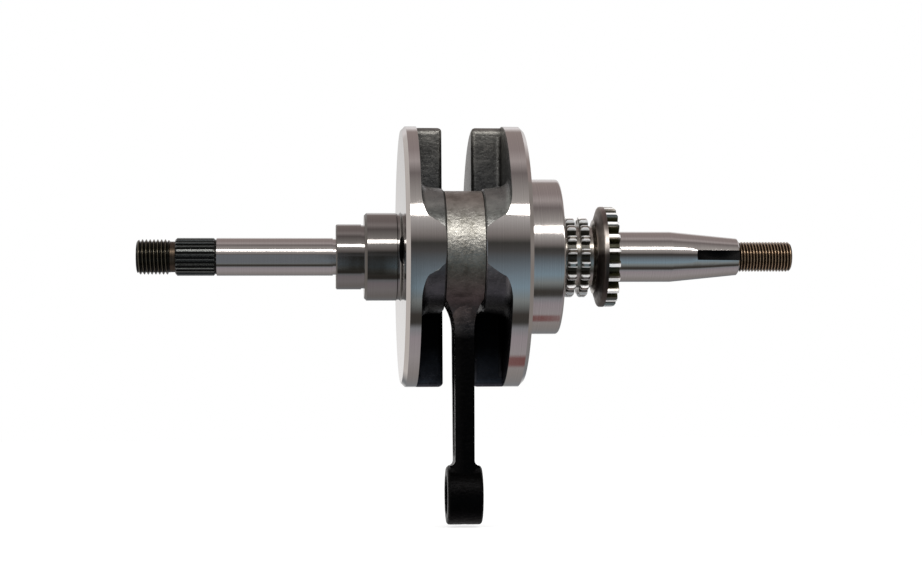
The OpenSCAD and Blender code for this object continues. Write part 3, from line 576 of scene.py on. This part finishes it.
# Studio: white floor and room, one long strip lamp, and a light tent that only reflections show
studio = {
    "floorGap": 1.0,  # mm under the small end
    "floorReach": 9, "floorColour": "#b4b4b4", "floorLift": 0.66, "roomLight": 0.85,
    "tentRadius": 1.9, "tentHalf": 2.6, "tentSides": 72,
    "stripAngle": 35.6, "stripHeight": 0.26, "stripLength": 4.4, "stripDistance": 1.6,
    "stripWatts": 26.0, "stripColour": "#fffdfa",
    # cards on the tent, along the shaft in metres and round it in degrees: a dark one for the left
    # journals, a grey one for the drive shaft, a red ribbon for the right web and the bearing, and
    # pale cloth far at the left
    "cards": [{"from": -0.052, "to": 0.026, "soft": 0.012, "low": -53.0, "high": -2.0, "softAngle": 5.0,
               "colour": "#35332d"},
              {"from": -0.42, "to": -0.062, "soft": 0.006, "low": -45.0, "high": 9.0, "softAngle": 5.0,
               "colour": "#7e848b"},
              {"from": 0.15, "to": 0.245, "soft": 0.01, "low": -116.0, "high": -101.0, "softAngle": 5.0,
               "colour": "#8b6160"},
              {"from": -9.0, "to": -0.8, "soft": 0.4, "low": -200.0, "high": 200.0, "softAngle": 1.0,
               "colour": "#e6e2df"}],
    "leftEnd": "#e6e2df", "rightEnd": "#a09b98",
    # the cloth's colour at an angle round the shaft in degrees, 0 at the front and 90 overhead
    "tent": [(-180, "#f6f4f3"), (-165, "#85888b"), (-128, "#a29e9d"), (-101, "#b5b1b4"), (-79, "#b1aab1"),
             (-69, "#9b9ea4"), (-64, "#484744"), (-55, "#4b4845"), (-43, "#959d9e"), (-31, "#94adbd"),
             (-19, "#8799a6"), (0, "#59595a"), (7, "#474745"), (14, "#95908f"), (27, "#c9c7c7"),
             (42, "#c6c3c1"), (72, "#888181"), (86, "#c6bebe"), (101, "#aca1a1"), (137, "#aa9e9b"),
             (150, "#faf6f7"), (166, "#d0cecd"), (180, "#f6f4f3")],
}


# 1 for rays that show a thing itself, straight on, mirrored or through glass, and 0 for its light
def shownRays(tree):
    rays = addNode(tree, "LightPath").outputs
    seen = addNode(tree, "Math", {"operation": "ADD", "use_clamp": True},
                   {0: rays["Is Camera Ray"], 1: rays["Is Glossy Ray"]})
    return addNode(tree, "Math", {"operation": "ADD", "use_clamp": True},
                   {0: seen.outputs[0], 1: rays["Is Transmission Ray"]}).outputs[0]


# White paper: it takes the shadow as paper does, and glows enough to stay white to the eye
def floorPaper():
    material, tree = emptyMaterial("white_paper_floor")
    paper = addNode(tree, "BsdfDiffuse", {"Color": linear(studio["floorColour"])})
    lift = addNode(tree, "Math", {"operation": "MULTIPLY", 1: studio["floorLift"]}, {0: shownRays(tree)})
    glow = addNode(tree, "Emission", {"Color": linear("#ffffff")}, {"Strength": lift.outputs[0]})
    both = addNode(tree, "AddShader", links={0: paper.outputs[0], 1: glow.outputs[0]})
    addNode(tree, "OutputMaterial", links={"Surface": both.outputs[0]})
    return material


# The floor shows to the camera and takes the shadow, and the steel mirrors the tent in its place
def layFloor():
    reach, z = studio["floorReach"], cadBounds[0].z - studio["floorGap"] * mm
    mesh = bpy.data.meshes.new("paper_floor")
    mesh.from_pydata([(-reach, -reach, z), (reach, -reach, z), (reach, reach, z), (-reach, reach, z)],
                     [], [(0, 1, 2, 3)])
    mesh.materials.append(floorPaper())
    piece = addPiece("paper_floor", mesh)
    piece.visible_glossy = False


# Cloth of the tent, coloured by the angle at which the shaft sees it, with four cards on it
def tentCloth():
    material, tree = emptyMaterial("light_tent_cloth")
    place = addNode(tree, "SeparateXYZ", links={0: addNode(tree, "TexCoord").outputs["Object"]}).outputs
    toFront = addNode(tree, "Math", {"operation": "MULTIPLY", 1: -1.0}, {0: place[1]})
    angle = addNode(tree, "Math", {"operation": "ARCTAN2"}, {0: place[2], 1: toFront.outputs[0]}).outputs[0]
    share = addNode(tree, "MapRange", {"From Min": -math.pi, "From Max": math.pi}, {"Value": angle})
    cloth = addNode(tree, "ValToRGB", {"stops": [((a + 180) / 360, colour) for a, colour in studio["tent"]]},
                    {"Fac": share.outputs[0]}).outputs[0]
    for card in studio["cards"]:
        along = window(tree, place[0], card["from"], card["to"], card["soft"])
        around = window(tree, angle, math.radians(card["low"]), math.radians(card["high"]),
                        math.radians(card["softAngle"]))
        both = addNode(tree, "Math", {"operation": "MULTIPLY"}, {0: along, 1: around})
        cloth = addNode(tree, "Mix", {"data_type": "RGBA", 7: linear(card["colour"])},
                        {0: both.outputs[0], 6: cloth}).outputs[2]
    glow = addNode(tree, "Emission", {"Strength": 1.0}, {"Color": cloth})
    addNode(tree, "OutputMaterial", links={"Surface": glow.outputs[0]})
    return material


def endCloth(name, colour):
    material, tree = emptyMaterial(name)
    glow = addNode(tree, "Emission", {"Color": linear(colour), "Strength": 1.0})
    addNode(tree, "OutputMaterial", links={"Surface": glow.outputs[0]})
    return material


def pitchTent():
    reach, half, count = studio["tentRadius"], studio["tentHalf"], studio["tentSides"]
    spots = [(x, reach * math.cos(i / count * math.tau), reach * math.sin(i / count * math.tau))
             for x in (-half, half) for i in range(count)]
    sides = [(i, (i + 1) % count, count + (i + 1) % count, count + i) for i in range(count)]
    mesh = bpy.data.meshes.new("light_tent")
    mesh.from_pydata(spots, [], sides + [list(range(count)), list(range(count, 2 * count))])
    for material in (tentCloth(), endCloth("tent_left_end", studio["leftEnd"]),
                     endCloth("tent_right_end", studio["rightEnd"])):
        mesh.materials.append(material)
    mesh.polygons[count].material_index = 1
    mesh.polygons[count + 1].material_index = 2
    piece = addPiece("light_tent", mesh)
    piece.visible_camera = False
    piece.visible_diffuse = False
    piece.visible_shadow = False
    piece.visible_transmission = False


# One long strip above the camera draws the bright line along every round part
def hangStrip():
    lamp = bpy.data.lights.new("front_strip", "AREA")
    lamp.shape = "RECTANGLE"
    lamp.size, lamp.size_y = studio["stripLength"], studio["stripHeight"]
    lamp.energy = studio["stripWatts"]
    lamp.color = linear(studio["stripColour"])[:3]
    piece = addPiece("front_strip", lamp)
    angle = math.radians(studio["stripAngle"])
    back = Vector((0, -math.cos(angle), math.sin(angle)))
    piece.location = back * studio["stripDistance"]
    piece.rotation_euler = back.to_track_quat("Z", "Y").to_euler()


# A white room that lights a little less than it shows
def whiteRoom():
    world = bpy.data.worlds.new("white_room")
    bpy.context.scene.world = world
    world.use_nodes = True
    tree = world.node_tree
    tree.nodes.clear()
    level = addNode(tree, "MapRange", {"To Min": studio["roomLight"], "To Max": 1.0},
                    {"Value": shownRays(tree)})
    glow = addNode(tree, "Background", {"Color": linear("#ffffff")}, {"Strength": level.outputs[0]})
    addNode(tree, "OutputWorld", links={"Surface": glow.outputs[0]})


layFloor()
pitchTent()
hangStrip()
whiteRoom()
print("studio lit")

# Camera a little below the shaft and to the left, turned slightly about its own axis
view = {"aim": (-0.0316, 0.0, -0.0141), "offset": (-0.0604, -0.8000, -0.0559), "lens": 78.51, "sensor": 36.0,
        "roll": -0.00656, "clip": (0.05, 60)}
camera = bpy.data.cameras.new("camera")
camera.lens, camera.sensor_width = view["lens"], view["sensor"]
camera.clip_start, camera.clip_end = view["clip"]
eye = addPiece("camera", camera)
eye.location = Vector(view["aim"]) + Vector(view["offset"])
turn = (-Vector(view["offset"])).to_track_quat("-Z", "Y") @ Quaternion((0, 0, 1), view["roll"])
eye.rotation_euler = turn.to_euler()
bpy.context.scene.camera = eye
bpy.context.scene.view_settings.view_transform = "Standard"
print("camera set")

bpy.context.view_layer.update()
